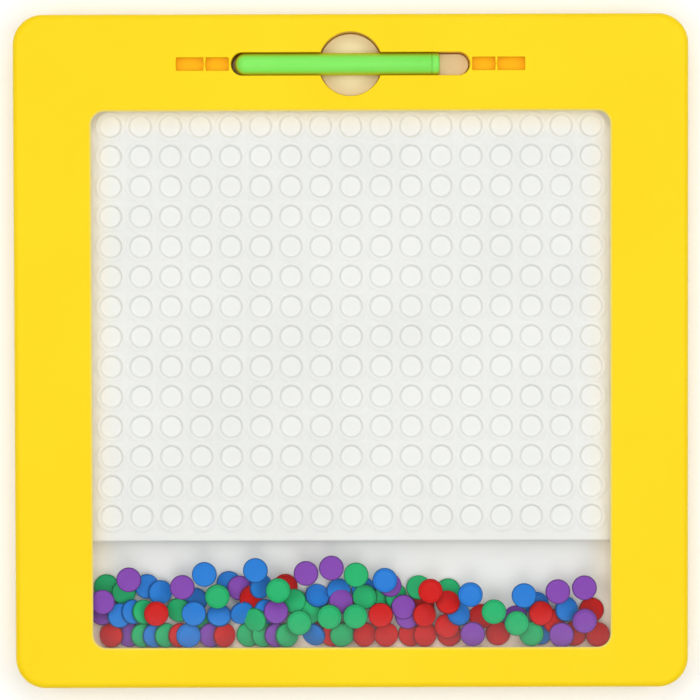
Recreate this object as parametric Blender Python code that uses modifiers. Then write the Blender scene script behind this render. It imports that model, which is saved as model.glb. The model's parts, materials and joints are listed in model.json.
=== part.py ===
"""Magnetic disc drawing board: a square frame with a clear window, a board of round cells,
a trough of loose coloured discs and a magnetic pen that lies in a slot above the window.

Metres, +Z up. The board lies on its feet with its face up, +X to the right and +Y towards the
pen slot. The origin is the middle of the footprint, on the surface that the feet stand on.
"""

import math

import bmesh
import bpy
from mathutils import Matrix, Vector

# Outer frame
BOARD_HALF = 0.1400
BOARD_CORNER = 0.0125
FACE_Z = 0.0200
FACE_EDGE_ROUND = 0.0030
FRAME_WALL = 0.0020
LIP_THICKNESS = 0.0016

# The gap between neighbouring pieces, and how far a cutter runs past the face that it opens
GAP = 0.0003
OVERSHOOT = 0.0010

# Window opening in the frame: left, right, near and far edge
WINDOW_X = 0.1076
WINDOW_NEAR = -0.1231
WINDOW_FAR = 0.0998
WINDOW_CORNER = 0.0055
WINDOW_THICKNESS = 0.0012
WINDOW_SHEET_CORNER = 0.0030
WINDOW_LEDGE = 0.0035
WINDOW_FAR_LEDGE = 0.0025

# Tray under the window, which holds the cells and the trough
TRAY_X = 0.1100
TRAY_NEAR = -0.1255
TRAY_FAR = 0.1015
TRAY_WALL = 0.0016
STEP_Y = -0.0794
TROUGH_FLOOR_Z = 0.0054
TROUGH_CORNER = 0.0020
CELL_CREST_Z = 0.0141
CELL_DEPTH = 0.0018
PLATE_THICKNESS = 0.0031

# Cells
CELL_PITCH = 0.0125
CELL_COLUMNS = 17
CELL_ROWS = 14
CELL_TOP_ROW_Y = 0.09375
CELL_RADIUS = 0.0058
CELL_SIDES = 8

# Rear cover, feet and screws
FOOT_RADIUS = 0.0060
FOOT_CHAMFER = 0.0004
FOOT_X = 0.1120
FOOT_Y = 0.1180
REAR_Z = 0.0015
REAR_THICKNESS = 0.0020
SCREW_HEAD_RADIUS = 0.0029
SCREW_SHANK_RADIUS = 0.0012
SCREW_HEAD_LOW = 0.0019
SCREW_HEAD_HIGH = 0.0036
SCREW_HEAD_CHAMFER = 0.0005
SCREW_POINT_LENGTH = 0.0020
SCREW_TIP_Z = 0.0150
COVER_BOSS_RADIUS = 0.0045
COVER_BOSS_TOP = 0.0057
FRAME_BOSS_RADIUS = 0.0035
FRAME_BOSS_LOW = COVER_BOSS_TOP + GAP
PILOT_RADIUS = SCREW_SHANK_RADIUS + GAP
SCREW_PLACES = (
    (-0.1260, -0.1260),
    (-0.0450, -0.1330),
    (0.0450, -0.1330),
    (0.1260, -0.1260),
    (0.1260, 0.0000),
    (0.1260, 0.1260),
    (0.0880, 0.1260),
    (-0.0880, 0.1260),
    (-0.1260, 0.1260),
    (-0.1260, 0.0000),
)

# Pen slot, finger hole and the narrow grooves beside the slot
SLOT_Y = 0.1193
SLOT_HALF_LENGTH = 0.0495
SLOT_HALF_WIDTH = 0.0050
FINGER_RADIUS = 0.0133
SLEEVE_WALL = 0.0016
SLEEVE_LOW = 0.0040
SHELF_Z = 0.0097
SHELF_WALL = 0.0018
GROOVE_RIDGE = 0.0005
GROOVE_END = 0.0722
GROOVE_HALF_WIDTH = 0.0027
GROOVE_DEPTH = 0.0035
TAB_X = 0.0604
TAB_THICKNESS = 0.0011
TAB_SPLIT = 0.0006

# Pen
PEN_RADIUS = 0.0047
PEN_LENGTH = 0.0850
PEN_X = -0.0055
PEN_Z = SHELF_Z + GAP + PEN_RADIUS
PEN_BORE = 0.0033
PEN_TIP_LENGTH = 0.0034
PEN_TIP_WALL = 0.0023
PEN_CAP_HEAD = 0.0030
PEN_CAP_SPIGOT = 0.0085
PEN_MAGNET_LENGTH = 0.0080
PEN_CAP_CHAMFER = 0.0010

# Discs
DISC_RADIUS = 0.0052
DISC_HALF = 0.0011
DISC_SIDES = 16
WINDOW_LOW = FACE_Z - LIP_THICKNESS - GAP - WINDOW_THICKNESS
SLIDE_Z = WINDOW_LOW - GAP - DISC_HALF
LOOSE_Z = 0.0123
LOOSE_LEAN = math.radians(6.0)
LEAN_TURN = math.radians(137.5)

# Discs that lie up against the window and slide over the cells: colour, which face is up, x, y
SLIDING_DISCS = (
    ("purple", "dome", -0.1040, -0.1043),
    ("purple", "dome", -0.0930, -0.0950),
    ("purple", "dome", -0.0707, -0.0982),
    ("blue", "dome", -0.0615, -0.0928),
    ("blue", "dome", -0.0402, -0.0912),
    ("green", "rim", -0.0307, -0.0996),
    ("purple", "dome", -0.0191, -0.0925),
    ("purple", "dome", -0.0085, -0.0903),
    ("green", "dome", 0.0018, -0.0932),
    ("blue", "rim", 0.0138, -0.0954),
    ("red", "rim", 0.0328, -0.1000),
    ("blue", "rim", 0.0494, -0.1015),
    ("green", "rim", 0.0592, -0.1087),
    ("blue", "dome", 0.0718, -0.1020),
    ("purple", "dome", 0.0859, -0.1004),
    ("purple", "dome", 0.0970, -0.0988),
)

# Discs that lie on top of the pile with clear space up to the window
LOOSE_DISCS = (
    ("red", "rim", -0.0818, -0.1095),
    ("blue", "dome", -0.0661, -0.1096),
    ("green", "rim", -0.0562, -0.1023),
    ("green", "rim", -0.0221, -0.1135),
    ("green", "rim", -0.0093, -0.1110),
    ("green", "rim", 0.0014, -0.1108),
    ("red", "dome", 0.0120, -0.1104),
    ("purple", "dome", 0.0505, -0.1185),
    ("green", "rim", 0.0688, -0.1139),
    ("purple", "dome", 0.0876, -0.1189),
    ("purple", "rim", 0.0972, -0.1129),
)

COLOURS = {
    "yellow": (0.99, 0.73, 0.02),
    "white": (0.85, 0.86, 0.83),
    "clear": (0.95, 0.97, 0.97),
    "pen_green": (0.26, 0.82, 0.16),
    "red": (0.72, 0.02, 0.02),
    "green": (0.03, 0.48, 0.16),
    "blue": (0.05, 0.25, 0.78),
    "purple": (0.30, 0.09, 0.47),
    "steel": (0.60, 0.60, 0.62),
    "rubber": (0.12, 0.12, 0.12),
}


# ---------------------------------------------------------------- scene and helpers


def clear_scene():
    for obj in list(bpy.data.objects):
        bpy.data.objects.remove(obj, do_unlink=True)


def new_collection(name, hidden=False):
    collection = bpy.data.collections.new(name)
    collection.hide_render = hidden
    bpy.context.scene.collection.children.link(collection)
    return collection


def make_material(name, colour, roughness=0.4, metallic=0.0, alpha=1.0):
    material = bpy.data.materials.new(name)
    material.use_nodes = True
    shader = material.node_tree.nodes["Principled BSDF"]
    shader.inputs["Base Color"].default_value = (*colour, 1.0)
    shader.inputs["Roughness"].default_value = roughness
    shader.inputs["Metallic"].default_value = metallic
    shader.inputs["Alpha"].default_value = alpha
    return material


def add_object(name, mesh, collection, material=None):
    obj = bpy.data.objects.new(name, mesh)
    collection.objects.link(obj)
    if material:
        mesh.materials.append(material)
    return obj


def arc(centre_x, centre_y, radius, start, end, steps):
    """Points on a circle from one angle to another, in degrees."""
    points = []
    for step in range(steps + 1):
        angle = math.radians(start + (end - start) * step / steps)
        points.append((centre_x + radius * math.cos(angle), centre_y + radius * math.sin(angle)))
    return points


def rounded_rectangle(left, right, near, far, radius, steps=5):
    """The outline of a rectangle with round corners, anticlockwise from its near left corner."""
    corners = (
        (left + radius, near + radius, 180),
        (right - radius, near + radius, 270),
        (right - radius, far - radius, 0),
        (left + radius, far - radius, 90),
    )
    points = []
    for x, y, start in corners:
        points += arc(x, y, radius, start, start + 90, steps)
    return points


def polygon(centre_x, centre_y, radius, sides, turn=0.0):
    return arc(centre_x, centre_y, radius, turn, turn + 360 - 360 / sides, sides - 1)


def stadium(half_length, half_width):
    """The outline of the pen slot, or of a wall round it."""
    return rounded_rectangle(
        -half_length, half_length, SLOT_Y - half_width, SLOT_Y + half_width, half_width * 0.999, 8
    )


def prism(name, outlines, low, high, collection, material=None):
    """One solid, or several, of flat outlines raised from one height to another."""
    curve = bpy.data.curves.new(name, "CURVE")
    curve.dimensions = "2D"
    curve.fill_mode = "BOTH"
    curve.extrude = (high - low) / 2
    for outline in outlines:
        spline = curve.splines.new("POLY")
        spline.points.add(len(outline) - 1)
        for point, (x, y) in zip(spline.points, outline):
            point.co = (x, y, 0.0, 1.0)
        spline.use_cyclic_u = True
    guide = bpy.data.objects.new(name + "_outline", curve)
    guide.location.z = (low + high) / 2
    collection.objects.link(guide)
    bpy.context.view_layer.update()
    evaluated = guide.evaluated_get(bpy.context.evaluated_depsgraph_get())
    mesh = bpy.data.meshes.new_from_object(evaluated)
    obj = add_object(name, mesh, collection, material)
    obj.matrix_world = guide.matrix_world.copy()
    bpy.data.objects.remove(guide, do_unlink=True)
    weld_and_orient(mesh)
    return obj


def weld_and_orient(mesh):
    model = bmesh.new()
    model.from_mesh(mesh)
    bmesh.ops.remove_doubles(model, verts=model.verts, dist=0.000001)
    bmesh.ops.recalc_face_normals(model, faces=model.faces)
    model.to_mesh(mesh)
    model.free()


def cylinder(name, place, radius, low, high, sides, collection, material=None):
    mesh = bpy.data.meshes.new(name)
    model = bmesh.new()
    bmesh.ops.create_cone(
        model, cap_ends=True, segments=sides, radius1=radius, radius2=radius, depth=high - low
    )
    bmesh.ops.translate(model, verts=model.verts, vec=(place[0], place[1], (low + high) / 2))
    model.to_mesh(mesh)
    model.free()
    return add_object(name, mesh, collection, material)


def box(name, low, high, collection, material=None):
    mesh = bpy.data.meshes.new(name)
    model = bmesh.new()
    bmesh.ops.create_cube(model, size=1.0)
    size = Vector(high) - Vector(low)
    middle = (Vector(high) + Vector(low)) / 2
    bmesh.ops.transform(
        model, verts=model.verts, matrix=Matrix.Translation(middle) @ Matrix.Diagonal((*size, 1.0))
    )
    model.to_mesh(mesh)
    model.free()
    return add_object(name, mesh, collection, material)


def turned(name, profile, steps, collection, material=None):
    """A solid of revolution about its own Z. The profile runs down the outer side."""
    mesh = bpy.data.meshes.new(name)
    mesh.from_pydata(
        [(radius, 0.0, height) for radius, height in profile],
        [(i, i + 1) for i in range(len(profile) - 1)],
        [],
    )
    obj = add_object(name, mesh, collection, material)
    screw = obj.modifiers.new("turn", "SCREW")
    screw.axis = "Z"
    screw.steps = steps
    screw.render_steps = steps
    screw.use_merge_vertices = True
    screw.merge_threshold = 0.00001
    return obj


def cut(obj, cutter, operation="DIFFERENCE"):
    cutter.display_type = "WIRE"
    cutter.hide_render = True
    boolean = obj.modifiers.new(cutter.name, "BOOLEAN")
    boolean.operation = operation
    boolean.object = cutter


def join(obj, addition):
    cut(obj, addition, "UNION")


def round_top_rim(obj, height, radius, segments):
    """Rounds the edge between the top face and the sides of a plain prism."""
    mesh = obj.data
    local = height - obj.matrix_world.translation.z
    model = bmesh.new()
    model.from_mesh(mesh)
    rim = [
        edge
        for edge in model.edges
        if all(abs(vert.co.z - local) < 0.00001 for vert in edge.verts)
        and len(edge.link_faces) == 2
        and any(abs(face.normal.z) < 0.5 for face in edge.link_faces)
    ]
    bmesh.ops.bevel(
        model, geom=rim, offset=radius, segments=segments, profile=0.5, affect="EDGES"
    )
    model.to_mesh(mesh)
    model.free()


# ---------------------------------------------------------------- shells


def make_front_frame(parts, cutters, material):
    frame = prism(
        "front_frame",
        [rounded_rectangle(-BOARD_HALF, BOARD_HALF, -BOARD_HALF, BOARD_HALF, BOARD_CORNER, 7)],
        REAR_Z,
        FACE_Z,
        parts,
        material,
    )
    round_top_rim(frame, FACE_Z, FACE_EDGE_ROUND, 3)
    inside = BOARD_HALF - FRAME_WALL
    cut(
        frame,
        prism(
            "frame_hollow",
            [rounded_rectangle(-inside, inside, -inside, inside, BOARD_CORNER - FRAME_WALL, 7)],
            REAR_Z - OVERSHOOT,
            FACE_Z - LIP_THICKNESS,
            cutters,
        ),
    )
    add_pen_sleeve(frame, cutters)
    add_frame_bosses(frame, cutters)
    cut(
        frame,
        prism(
            "window_opening",
            [rounded_rectangle(-WINDOW_X, WINDOW_X, WINDOW_NEAR, WINDOW_FAR, WINDOW_CORNER)],
            FACE_Z - 2 * LIP_THICKNESS,
            FACE_Z + OVERSHOOT,
            cutters,
        ),
    )
    cut_pen_bay(frame, cutters)
    add_grooves(frame, cutters)
    return frame


def add_pen_sleeve(frame, cutters):
    """The walls that go down from the face round the pen slot and the finger hole."""
    top = FACE_Z - LIP_THICKNESS / 2
    outline = stadium(SLOT_HALF_LENGTH + SLEEVE_WALL, SLOT_HALF_WIDTH + SLEEVE_WALL)
    join(frame, prism("slot_sleeve", [outline], SLEEVE_LOW, top, cutters))
    ring = polygon(0.0, SLOT_Y, FINGER_RADIUS + SLEEVE_WALL, 36)
    join(frame, prism("finger_sleeve", [ring], SLEEVE_LOW, top, cutters))


def cut_pen_bay(frame, cutters):
    low, high = SLEEVE_LOW - OVERSHOOT, FACE_Z + OVERSHOOT
    slot = prism("slot_cut", [stadium(SLOT_HALF_LENGTH, SLOT_HALF_WIDTH)], low, high, cutters)
    cut(frame, slot)
    hole = polygon(0.0, SLOT_Y, FINGER_RADIUS, 36)
    cut(frame, prism("finger_cut", [hole], low, high, cutters))


def add_frame_bosses(frame, cutters):
    top = FACE_Z - LIP_THICKNESS / 2
    for number, place in enumerate(SCREW_PLACES, 1):
        name = f"frame_boss_{number:02d}"
        join(frame, cylinder(name, place, FRAME_BOSS_RADIUS, FRAME_BOSS_LOW, top, 16, cutters))
        pilot = cylinder(
            f"pilot_{number:02d}",
            place,
            PILOT_RADIUS,
            FRAME_BOSS_LOW - OVERSHOOT,
            SCREW_TIP_Z + OVERSHOOT,
            12,
            cutters,
        )
        cut(frame, pilot)


def add_grooves(frame, cutters):
    """A blind groove on each side of the slot, crossed by a pair of tabs that nearly meet."""
    for side, sign in (("left", -1), ("right", 1)):
        near_slot = sign * (SLOT_HALF_LENGTH + SLEEVE_WALL / 2)
        far_end = sign * GROOVE_END
        wall = sign * SLEEVE_WALL
        xs = sorted((near_slot, far_end + wall))
        half = GROOVE_HALF_WIDTH + SLEEVE_WALL
        floor_z = FACE_Z - GROOVE_DEPTH
        block = box(
            f"groove_block_{side}",
            (xs[0], SLOT_Y - half, floor_z - SLEEVE_WALL),
            (xs[1], SLOT_Y + half, FACE_Z - LIP_THICKNESS / 2),
            cutters,
        )
        join(frame, block)
        xs = sorted((sign * (SLOT_HALF_LENGTH + GROOVE_RIDGE), far_end))
        groove = box(
            f"groove_cut_{side}",
            (xs[0], SLOT_Y - GROOVE_HALF_WIDTH, floor_z),
            (xs[1], SLOT_Y + GROOVE_HALF_WIDTH, FACE_Z + OVERSHOOT),
            cutters,
        )
        cut(frame, groove)
        add_tabs(frame, side, sign * TAB_X, floor_z, cutters)


def add_tabs(frame, side, x, floor_z, cutters):
    """Two thin tabs across a groove, each narrowing towards the middle."""
    root = SLOT_Y + GROOVE_HALF_WIDTH + SLEEVE_WALL / 2
    tip = SLOT_Y + TAB_SPLIT / 2
    half = TAB_THICKNESS / 2
    outline = [(x - half, root), (x - half * 0.6, tip), (x + half * 0.6, tip), (x + half, root)]
    mirrored = [(px, 2 * SLOT_Y - py) for px, py in reversed(outline)]
    top = FACE_Z - LIP_THICKNESS / 4
    for number, points in enumerate((outline, mirrored), 1):
        name = f"groove_tab_{side}_{number}"
        join(frame, prism(name, [points], floor_z - SLEEVE_WALL / 2, top, cutters))


def make_window(parts, material):
    """A clear sheet that lies on the walls of the tray, under the lip of the frame."""
    outline = rounded_rectangle(
        -TRAY_X - WINDOW_LEDGE,
        TRAY_X + WINDOW_LEDGE,
        TRAY_NEAR - WINDOW_LEDGE + GAP,
        TRAY_FAR + WINDOW_FAR_LEDGE,
        WINDOW_SHEET_CORNER,
        3,
    )
    top = WINDOW_LOW + WINDOW_THICKNESS
    return prism("front_window", [outline], WINDOW_LOW, top, parts, material)


def make_cell_board(parts, cutters, material):
    """One white moulding: the plate of round cells, the step down to the trough, and walls."""
    low = REAR_Z + REAR_THICKNESS + GAP
    corner = WINDOW_CORNER + TRAY_WALL
    outer = rounded_rectangle(
        -TRAY_X - TRAY_WALL,
        TRAY_X + TRAY_WALL,
        TRAY_NEAR - TRAY_WALL,
        TRAY_FAR + TRAY_WALL,
        corner,
        4,
    )
    board = prism("cell_board", [outer], low, WINDOW_LOW - GAP, parts, material)
    above = WINDOW_LOW + OVERSHOOT
    field = rounded_rectangle(-TRAY_X, TRAY_X, TRAY_NEAR, TRAY_FAR, WINDOW_CORNER, 4)
    cut(board, prism("field_cut", [field], CELL_CREST_Z, above, cutters))
    trough = rounded_rectangle(-TRAY_X, TRAY_X, TRAY_NEAR, STEP_Y, TROUGH_CORNER, 2)
    cut(board, prism("trough_cut", [trough], TROUGH_FLOOR_Z, above - OVERSHOOT / 2, cutters))
    pocket = box(
        "board_underside",
        (-TRAY_X, STEP_Y + TRAY_WALL, low - OVERSHOOT),
        (TRAY_X, TRAY_FAR, CELL_CREST_Z - PLATE_THICKNESS),
        cutters,
    )
    cut(board, pocket)
    cut(board, make_cell_cutter(cutters))
    return board


def cell_centre(column, row):
    x = (column - (CELL_COLUMNS - 1) / 2) * CELL_PITCH
    return x, CELL_TOP_ROW_Y - row * CELL_PITCH


def make_cell_cutter(cutters):
    """Every cell's recess as one mesh of separate eight-sided prisms."""
    mesh = bpy.data.meshes.new("cells_cut")
    model = bmesh.new()
    floor_z = CELL_CREST_Z - CELL_DEPTH
    high = CELL_CREST_Z + OVERSHOOT
    for column in range(CELL_COLUMNS):
        for row in range(CELL_ROWS):
            made = bmesh.ops.create_cone(
                model,
                cap_ends=True,
                segments=CELL_SIDES,
                radius1=CELL_RADIUS,
                radius2=CELL_RADIUS,
                depth=high - floor_z,
                matrix=Matrix.Rotation(math.pi / CELL_SIDES, 4, "Z"),
            )
            x, y = cell_centre(column, row)
            bmesh.ops.translate(model, verts=made["verts"], vec=(x, y, (floor_z + high) / 2))
    model.to_mesh(mesh)
    model.free()
    return add_object("cells_cut", mesh, cutters)


def make_rear_cover(parts, cutters, material):
    inside = BOARD_HALF - FRAME_WALL - GAP
    top = REAR_Z + REAR_THICKNESS
    outline = rounded_rectangle(-inside, inside, -inside, inside, BOARD_CORNER - FRAME_WALL, 7)
    cover = prism("rear_cover", [outline], REAR_Z, top, parts, material)
    add_pen_shelf(cover, cutters)
    for number, place in enumerate(SCREW_PLACES, 1):
        name = f"cover_boss_{number:02d}"
        root = REAR_Z + REAR_THICKNESS / 2
        boss = cylinder(name, place, COVER_BOSS_RADIUS, root, COVER_BOSS_TOP, 16, cutters)
        join(cover, boss)
        counterbore = cylinder(
            f"counterbore_{number:02d}",
            place,
            SCREW_HEAD_RADIUS + GAP,
            REAR_Z - OVERSHOOT,
            SCREW_HEAD_HIGH + GAP,
            16,
            cutters,
        )
        cut(cover, counterbore)
        hole = cylinder(
            f"screw_hole_{number:02d}",
            place,
            PILOT_RADIUS,
            REAR_Z - OVERSHOOT / 2,
            COVER_BOSS_TOP + OVERSHOOT,
            12,
            cutters,
        )
        cut(cover, hole)
    return cover


def add_pen_shelf(cover, cutters):
    """The raised floor of the pen bay, hollow from behind like any thin moulding."""
    half_length, half_width = SLOT_HALF_LENGTH - GAP, SLOT_HALF_WIDTH - GAP
    radius = FINGER_RADIUS - GAP
    low = REAR_Z + REAR_THICKNESS / 2
    join(cover, prism("shelf", [stadium(half_length, half_width)], low, SHELF_Z, cutters))
    disc = polygon(0.0, SLOT_Y, radius, 36)
    join(cover, prism("shelf_disc", [disc], low, SHELF_Z, cutters))
    low, high = REAR_Z - OVERSHOOT, SHELF_Z - SHELF_WALL
    inner = stadium(half_length - SHELF_WALL, half_width - SHELF_WALL)
    cut(cover, prism("shelf_hollow", [inner], low, high, cutters))
    inner_disc = polygon(0.0, SLOT_Y, radius - SHELF_WALL, 36)
    cut(cover, prism("shelf_disc_hollow", [inner_disc], low, high, cutters))


# ---------------------------------------------------------------- fasteners and feet


def make_screws(parts, material):
    profile = (
        (0.0, SCREW_TIP_Z),
        (SCREW_SHANK_RADIUS * 0.4, SCREW_TIP_Z - SCREW_POINT_LENGTH * 0.1),
        (SCREW_SHANK_RADIUS, SCREW_TIP_Z - SCREW_POINT_LENGTH),
        (SCREW_SHANK_RADIUS, SCREW_HEAD_HIGH),
        (SCREW_HEAD_RADIUS, SCREW_HEAD_HIGH),
        (SCREW_HEAD_RADIUS, SCREW_HEAD_LOW + SCREW_HEAD_CHAMFER),
        (SCREW_HEAD_RADIUS - SCREW_HEAD_CHAMFER, SCREW_HEAD_LOW),
        (0.0, SCREW_HEAD_LOW),
    )
    for number, (x, y) in enumerate(SCREW_PLACES, 1):
        screw = turned(f"cover_screw_{number:02d}", profile, 12, parts, material)
        screw.location = (x, y, 0.0)


def make_feet(parts, material):
    top = REAR_Z - GAP
    profile = (
        (0.0, top),
        (FOOT_RADIUS, top),
        (FOOT_RADIUS, FOOT_CHAMFER),
        (FOOT_RADIUS - FOOT_CHAMFER, 0.0),
        (0.0, 0.0),
    )
    corners = (
        ("near_left", -1, -1),
        ("near_right", 1, -1),
        ("far_right", 1, 1),
        ("far_left", -1, 1),
    )
    for name, x_sign, y_sign in corners:
        foot = turned(f"rubber_foot_{name}", profile, 16, parts, material)
        foot.location = (x_sign * FOOT_X, y_sign * FOOT_Y, 0.0)


# ---------------------------------------------------------------- pen


def make_pen(parts, materials):
    """The barrel, its magnet and its end cap on one empty, at the pen's middle."""
    axis = bpy.data.objects.new("pen_axis", None)
    parts.objects.link(axis)
    tip_to_left = Matrix.Rotation(-math.pi / 2, 4, "Y")
    axis.matrix_world = Matrix.Translation((PEN_X, SLOT_Y, PEN_Z)) @ tip_to_left
    tip = PEN_LENGTH / 2
    mouth = -tip + PEN_CAP_HEAD + GAP
    bore_end = tip - PEN_TIP_WALL
    barrel = (
        (0.0, tip),
        (PEN_RADIUS * 0.62, tip - PEN_TIP_LENGTH * 0.09),
        (PEN_RADIUS * 0.90, tip - PEN_TIP_LENGTH * 0.38),
        (PEN_RADIUS, tip - PEN_TIP_LENGTH),
        (PEN_RADIUS, mouth),
        (PEN_BORE, mouth),
        (PEN_BORE, bore_end),
        (0.0, bore_end),
    )
    magnet_top = bore_end - GAP
    magnet_radius = PEN_BORE - GAP
    magnet = (
        (0.0, magnet_top),
        (magnet_radius, magnet_top),
        (magnet_radius, magnet_top - PEN_MAGNET_LENGTH),
        (0.0, magnet_top - PEN_MAGNET_LENGTH),
    )
    shoulder = -tip + PEN_CAP_HEAD
    cap = (
        (0.0, shoulder + PEN_CAP_SPIGOT),
        (magnet_radius, shoulder + PEN_CAP_SPIGOT),
        (magnet_radius, shoulder),
        (PEN_RADIUS, shoulder),
        (PEN_RADIUS, -tip + PEN_CAP_CHAMFER),
        (PEN_RADIUS - PEN_CAP_CHAMFER, -tip),
        (0.0, -tip),
    )
    pieces = (
        ("pen_barrel", barrel, "pen_green"),
        ("pen_magnet", magnet, "steel"),
        ("pen_end_cap", cap, "pen_green"),
    )
    for name, profile, finish in pieces:
        piece = turned(name, profile, 20, parts, materials[finish])
        piece.parent = axis


# ---------------------------------------------------------------- discs


def disc_profile():
    """A low dome on one face, and on the other a flat with a small chamfer."""
    return (
        (0.0, DISC_HALF),
        (DISC_RADIUS * 0.83, DISC_HALF * 0.70),
        (DISC_RADIUS, DISC_HALF * 0.10),
        (DISC_RADIUS, -DISC_HALF * 0.55),
        (DISC_RADIUS * 0.90, -DISC_HALF),
        (0.0, -DISC_HALF),
    )


def add_disc(number, colour, face, place, lean, heading, parts, materials):
    """A disc at its own centre, tipped by lean towards heading, with its dome or its rim up."""
    disc = turned(
        f"disc_{number:02d}_{colour}", disc_profile(), DISC_SIDES, parts, materials[colour]
    )
    tip_axis = Vector((-math.sin(heading), math.cos(heading), 0.0))
    turn = Matrix.Rotation(lean, 4, tip_axis)
    if face == "rim":
        turn = turn @ Matrix.Rotation(math.pi, 4, "X")
    disc.matrix_world = Matrix.Translation(place) @ turn


def make_discs(parts, materials):
    number = 0
    for colour, face, x, y in SLIDING_DISCS:
        number += 1
        add_disc(number, colour, face, (x, y, SLIDE_Z), 0.0, 0.0, parts, materials)
    for order, (colour, face, x, y) in enumerate(LOOSE_DISCS):
        number += 1
        heading = order * LEAN_TURN
        place = (x, y, LOOSE_Z)
        add_disc(number, colour, face, place, LOOSE_LEAN, heading, parts, materials)


def main():
    clear_scene()
    parts = new_collection("disc_drawing_board")
    cutters = new_collection("cutters", hidden=True)
    materials = {name: make_material(name, colour) for name, colour in COLOURS.items()}
    materials["clear"] = make_material("window_clear", COLOURS["clear"], 0.05, 0.0, 0.3)
    materials["steel"] = make_material("bright_steel", COLOURS["steel"], 0.3, 1.0)
    make_front_frame(parts, cutters, materials["yellow"])
    make_window(parts, materials["clear"])
    make_cell_board(parts, cutters, materials["white"])
    make_rear_cover(parts, cutters, materials["white"])
    make_screws(parts, materials["steel"])
    make_feet(parts, materials["rubber"])
    make_pen(parts, materials)
    make_discs(parts, materials)


main()
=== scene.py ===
"""The looks of the magnetic disc drawing board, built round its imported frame. Metres, +Z up."""

import json
import math

import bmesh
import bpy
import numpy as np
from mathutils import Matrix, Vector

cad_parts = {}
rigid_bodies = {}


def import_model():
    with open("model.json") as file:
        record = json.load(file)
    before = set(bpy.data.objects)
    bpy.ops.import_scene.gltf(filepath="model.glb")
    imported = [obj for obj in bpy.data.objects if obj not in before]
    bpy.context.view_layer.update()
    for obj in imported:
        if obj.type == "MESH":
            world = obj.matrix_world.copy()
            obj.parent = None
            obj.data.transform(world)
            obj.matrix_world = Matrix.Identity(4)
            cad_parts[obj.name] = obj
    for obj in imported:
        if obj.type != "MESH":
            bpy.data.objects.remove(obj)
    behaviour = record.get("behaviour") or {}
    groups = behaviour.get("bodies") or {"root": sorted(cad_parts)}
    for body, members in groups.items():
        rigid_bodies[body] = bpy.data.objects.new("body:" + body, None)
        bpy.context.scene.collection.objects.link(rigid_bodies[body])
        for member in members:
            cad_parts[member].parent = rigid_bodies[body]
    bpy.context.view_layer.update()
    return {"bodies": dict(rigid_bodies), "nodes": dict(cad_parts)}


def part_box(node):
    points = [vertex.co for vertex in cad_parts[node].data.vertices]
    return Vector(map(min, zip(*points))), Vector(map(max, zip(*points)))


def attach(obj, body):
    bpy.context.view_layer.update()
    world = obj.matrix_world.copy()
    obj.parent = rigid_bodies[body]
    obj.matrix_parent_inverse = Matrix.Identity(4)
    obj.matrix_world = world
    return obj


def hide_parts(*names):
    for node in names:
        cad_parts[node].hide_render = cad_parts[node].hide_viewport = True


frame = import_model()

# Heights and outer edges that the frame gives
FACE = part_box("front_frame")[1].z
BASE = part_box("front_frame")[0].z
BOARD_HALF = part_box("front_frame")[1].x
WINDOW_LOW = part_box("front_window")[0].z
WINDOW_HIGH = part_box("front_window")[1].z
SHEET_LOW, SHEET_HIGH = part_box("front_window")
TRAY_LOW, TRAY_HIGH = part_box("cell_board")

# Yellow frame
BOARD_CORNER = 0.0125
FACE_ROUND = 0.0030
FRAME_WALL = 0.0020
LIP_LOW = FACE - 0.0016
WINDOW_EDGES = (-0.1076, 0.1076, -0.1231, 0.0998)
WINDOW_CORNER = 0.0055
LIP_ROUND = 0.0022
LIP_ROUND_DEPTH = 0.0012

# Pen slot, finger hole and grooves
SLOT_Y = 0.1193
SLOT_HALF_LENGTH = 0.0495
SLOT_HALF_WIDTH = 0.0048
FINGER_RADIUS = 0.0133
SLOT_ROUND = 0.0004
SLEEVE_WALL = 0.0016
SLEEVE_LOW = 0.0040
SHELF_WALL = 0.0018
SHELF_GAP = 0.0003
GROOVE_NEAR_X = 0.0504
GROOVE_FAR_X = 0.0722
GROOVE_HALF_WIDTH = 0.0027
GROOVE_CORNER = 0.0004
GROOVE_ROUND = 0.0003
GROOVE_FLOOR = FACE - 0.0035
TAB_X = 0.0604
TAB_ROOT_HALF = 0.00062
TAB_TIP_HALF = 0.00034
TAB_INTO_WALL = 0.0006
TAB_SPLIT_HALF = 0.0003
TAB_SUNK = 0.0003

# Rear cover and its screws
REAR_THICKNESS = 0.0020
REAR_EDGE = 0.0006
BOSS_RADIUS = 0.0045
BOSS_TOP = 0.0057
SEAT_GAP = 0.0003
SEAT_DEPTH = 0.0019
HEAD_HEIGHT = 0.0017
SHANK_RADIUS = 0.0012
THREAD_DEPTH = 0.0003
THREAD_RIDGES = 10
POINT_LENGTH = 0.0020
RECESS_REACH = 0.0015
RECESS_HALF_WIDTH = 0.00035
RECESS_DEPTH = 0.0009

# White board
TRAY_WALL = 0.0016
TRAY_CORNER = 0.0055
TROUGH_FLOOR = 0.0054
TROUGH_FILLET = 0.0020
STEP_Y = -0.0794
STEP_ROUND = 0.0012
CELL_PITCH = 0.0125
CELL_COLUMNS = 17
CELL_ROWS = 14
CELL_TOP_ROW_Y = 0.09375
CREST = 0.0141
PLATE = CREST - 0.0005
DISH_DEPTH = 0.0012
CELL_RINGS = (
    0.0020, 0.0037, 0.0040, 0.0042, 0.0044, 0.0046, 0.0048, 0.0050, 0.0052, 0.0056, 0.0060,
)

# Pen: how thick its barrel is, how much solid plastic its tip has, and the round of its cap
BARREL_WALL = 0.0014
TIP_SOLID = 0.0023
TIP_LENGTH_SHARE = 0.95
CAP_ROUND = 0.0012

# Discs, and the steepest that one of them may lean in the pile
DISC_RADIUS = 0.0052
DISC_HALF = 0.0011
PILE_CEILING = 0.0142
PILE_GRID = 0.0005
STEEPEST = math.tan(math.radians(32))

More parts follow.
